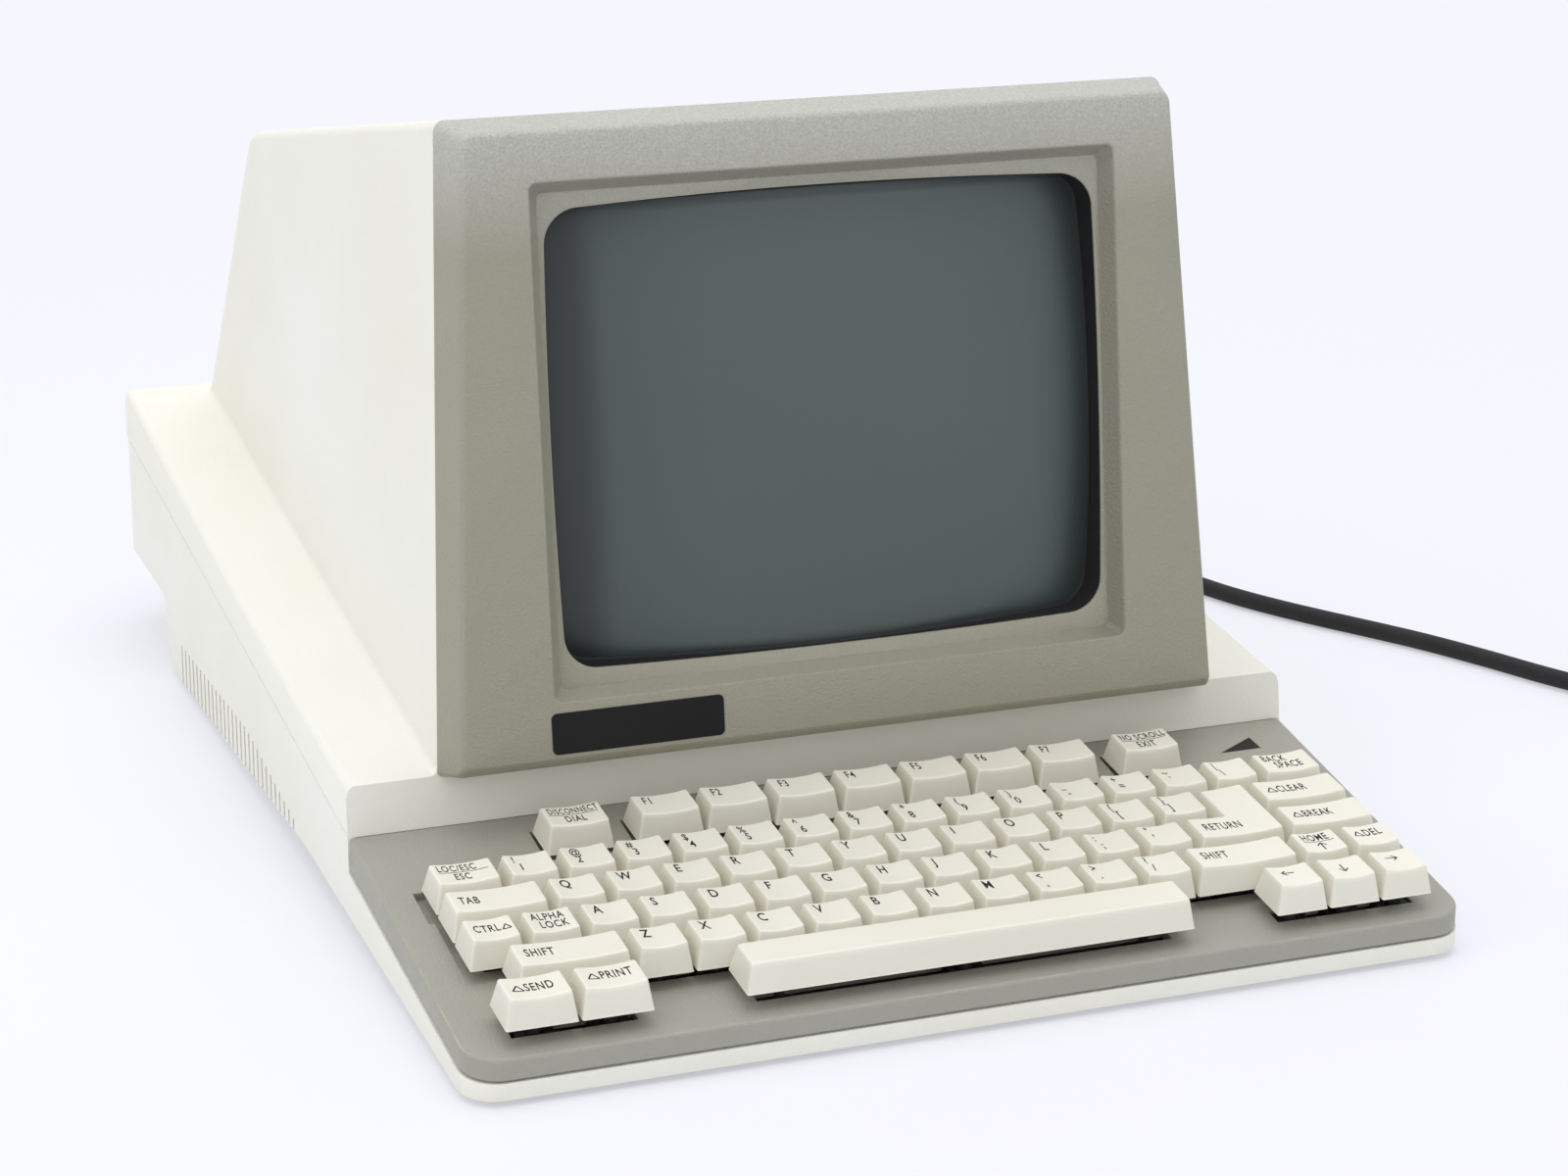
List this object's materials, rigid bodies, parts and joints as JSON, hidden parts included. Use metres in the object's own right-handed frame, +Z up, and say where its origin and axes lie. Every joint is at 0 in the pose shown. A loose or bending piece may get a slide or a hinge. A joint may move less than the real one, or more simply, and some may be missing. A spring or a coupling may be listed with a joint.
{
  "type": "computer terminal",
  "caption": "All-in-one desk terminal: leaning picture tube head on a wedge base with a built-in sloped keyboard, rear connectors and a mains cord.",
  "frame": {"origin": "on the table, under the middle of the casing's width and depth", "axes": "+Z up, +X to the user's right, +Y to the rear"},
  "size_m": [0.6203, 0.5837, 0.2627],
  "materials": {
    "casing": "fine grain",
    "bezel": "fine grain",
    "caps": "satin",
    "glass": "etched, tinted",
    "black_plastic": "satin",
    "rubber": "matt",
    "steel": "zinc plated",
    "iron": "varnished",
    "copper": "varnished wire",
    "board": "lacquered"
  },
  "bodies": {
    "casing": {"base_pan": "casing", "top_case": "casing", "screen_bezel": "bezel", "keyboard_panel": "bezel", "badge_plate": "black_plastic", "feet": "rubber", "case_screws": "steel", "picture_tube": "glass", "tube_band": "steel", "tube_screws": "steel", "deflection_yoke": "copper", "neck_board": "board", "video_board": "board", "flyback_transformer": "black_plastic", "logic_board": "board", "logic_chips": "black_plastic", "power_transformer": "iron", "connector_plate": "steel", "serial_ports": "black_plastic", "phone_jacks": "black_plastic", "fuse_holder": "black_plastic", "key_plate": "steel", "key_housings": "black_plastic", "key_board": "board", "strain_relief": "rubber", "power_cord": "rubber", "cord_coil": "rubber", "cord_tie": "black_plastic", "mains_plug": "rubber"},
    "number_keys": {"number_keys": "caps"},
    "upper_keys": {"upper_keys": "caps"},
    "home_keys": {"home_keys": "caps"},
    "lower_keys": {"lower_keys": "caps"},
    "function_keys": {"function_keys": "caps"},
    "key_dial": {"key_dial": "caps"},
    "key_no_scroll": {"key_no_scroll": "caps"},
    "key_esc": {"key_esc": "caps"},
    "key_backspace": {"key_backspace": "caps"},
    "key_tab": {"key_tab": "caps"},
    "key_return": {"key_return": "caps"},
    "key_clear": {"key_clear": "caps"},
    "key_ctrl": {"key_ctrl": "caps"},
    "key_alpha_lock": {"key_alpha_lock": "caps"},
    "key_break": {"key_break": "caps"},
    "key_shift_left": {"key_shift_left": "caps"},
    "key_shift_right": {"key_shift_right": "caps"},
    "key_home": {"key_home": "caps"},
    "key_del": {"key_del": "caps"},
    "key_send": {"key_send": "caps"},
    "key_print": {"key_print": "caps"},
    "key_space": {"key_space": "caps"},
    "key_left": {"key_left": "caps"},
    "key_down": {"key_down": "caps"},
    "key_right": {"key_right": "caps"},
    "power_rocker": {"power_rocker": "black_plastic"},
    "contrast_wheel": {"contrast_wheel": "black_plastic"}
  },
  "joints": [
    {"name": "press_number_row", "type": "slide", "parent": "casing", "child": "number_keys", "axis": [0, 0.0958, -0.9954], "range_m": [0, 0.0038], "stiffness_N_per_m": 300},
    {"name": "press_upper_row", "type": "slide", "parent": "casing", "child": "upper_keys", "axis": [0, 0.0958, -0.9954], "range_m": [0, 0.0038], "stiffness_N_per_m": 300},
    {"name": "press_home_row", "type": "slide", "parent": "casing", "child": "home_keys", "axis": [0, 0.0958, -0.9954], "range_m": [0, 0.0038], "stiffness_N_per_m": 300},
    {"name": "press_lower_row", "type": "slide", "parent": "casing", "child": "lower_keys", "axis": [0, 0.0958, -0.9954], "range_m": [0, 0.0038], "stiffness_N_per_m": 300},
    {"name": "press_function_row", "type": "slide", "parent": "casing", "child": "function_keys", "axis": [0, 0.0958, -0.9954], "range_m": [0, 0.0038], "stiffness_N_per_m": 300},
    {"name": "press_dial", "type": "slide", "parent": "casing", "child": "key_dial", "axis": [0, 0.0958, -0.9954], "range_m": [0, 0.0038], "stiffness_N_per_m": 150},
    {"name": "press_no_scroll", "type": "slide", "parent": "casing", "child": "key_no_scroll", "axis": [0, 0.0958, -0.9954], "range_m": [0, 0.0038], "stiffness_N_per_m": 150},
    {"name": "press_esc", "type": "slide", "parent": "casing", "child": "key_esc", "axis": [0, 0.0958, -0.9954], "range_m": [0, 0.0038], "stiffness_N_per_m": 150},
    {"name": "press_backspace", "type": "slide", "parent": "casing", "child": "key_backspace", "axis": [0, 0.0958, -0.9954], "range_m": [0, 0.0038], "stiffness_N_per_m": 150},
    {"name": "press_tab", "type": "slide", "parent": "casing", "child": "key_tab", "axis": [0, 0.0958, -0.9954], "range_m": [0, 0.0038], "stiffness_N_per_m": 150},
    {"name": "press_return", "type": "slide", "parent": "casing", "child": "key_return", "axis": [0, 0.0958, -0.9954], "range_m": [0, 0.0038], "stiffness_N_per_m": 150},
    {"name": "press_clear", "type": "slide", "parent": "casing", "child": "key_clear", "axis": [0, 0.0958, -0.9954], "range_m": [0, 0.0038], "stiffness_N_per_m": 150},
    {"name": "press_ctrl", "type": "slide", "parent": "casing", "child": "key_ctrl", "axis": [0, 0.0958, -0.9954], "range_m": [0, 0.0038], "stiffness_N_per_m": 150},
    {"name": "press_alpha_lock", "type": "slide", "parent": "casing", "child": "key_alpha_lock", "axis": [0, 0.0958, -0.9954], "range_m": [0, 0.0038], "stiffness_N_per_m": 150},
    {"name": "press_break", "type": "slide", "parent": "casing", "child": "key_break", "axis": [0, 0.0958, -0.9954], "range_m": [0, 0.0038], "stiffness_N_per_m": 150},
    {"name": "press_shift_left", "type": "slide", "parent": "casing", "child": "key_shift_left", "axis": [0, 0.0958, -0.9954], "range_m": [0, 0.0038], "stiffness_N_per_m": 150},
    {"name": "press_shift_right", "type": "slide", "parent": "casing", "child": "key_shift_right", "axis": [0, 0.0958, -0.9954], "range_m": [0, 0.0038], "stiffness_N_per_m": 150},
    {"name": "press_home", "type": "slide", "parent": "casing", "child": "key_home", "axis": [0, 0.0958, -0.9954], "range_m": [0, 0.0038], "stiffness_N_per_m": 150},
    {"name": "press_del", "type": "slide", "parent": "casing", "child": "key_del", "axis": [0, 0.0958, -0.9954], "range_m": [0, 0.0038], "stiffness_N_per_m": 150},
    {"name": "press_send", "type": "slide", "parent": "casing", "child": "key_send", "axis": [0, 0.0958, -0.9954], "range_m": [0, 0.0038], "stiffness_N_per_m": 150},
    {"name": "press_print", "type": "slide", "parent": "casing", "child": "key_print", "axis": [0, 0.0958, -0.9954], "range_m": [0, 0.0038], "stiffness_N_per_m": 150},
    {"name": "press_space", "type": "slide", "parent": "casing", "child": "key_space", "axis": [0, 0.0958, -0.9954], "range_m": [0, 0.0038], "stiffness_N_per_m": 300},
    {"name": "press_left", "type": "slide", "parent": "casing", "child": "key_left", "axis": [0, 0.0958, -0.9954], "range_m": [0, 0.0038], "stiffness_N_per_m": 150},
    {"name": "press_down", "type": "slide", "parent": "casing", "child": "key_down", "axis": [0, 0.0958, -0.9954], "range_m": [0, 0.0038], "stiffness_N_per_m": 150},
    {"name": "press_right", "type": "slide", "parent": "casing", "child": "key_right", "axis": [0, 0.0958, -0.9954], "range_m": [0, 0.0038], "stiffness_N_per_m": 150},
    {"name": "rocker_tilt", "type": "hinge", "parent": "casing", "child": "power_rocker", "pos_m": [0.076, 0.2385, 0.052], "axis": [1, 0, 0], "range_deg": [-9, 9]},
    {"name": "wheel_turn", "type": "hinge", "parent": "casing", "child": "contrast_wheel", "pos_m": [0.1593, -0.1207, 0.01325], "axis": [0, 0, 1], "range_deg": [-135, 135]}
  ]
}
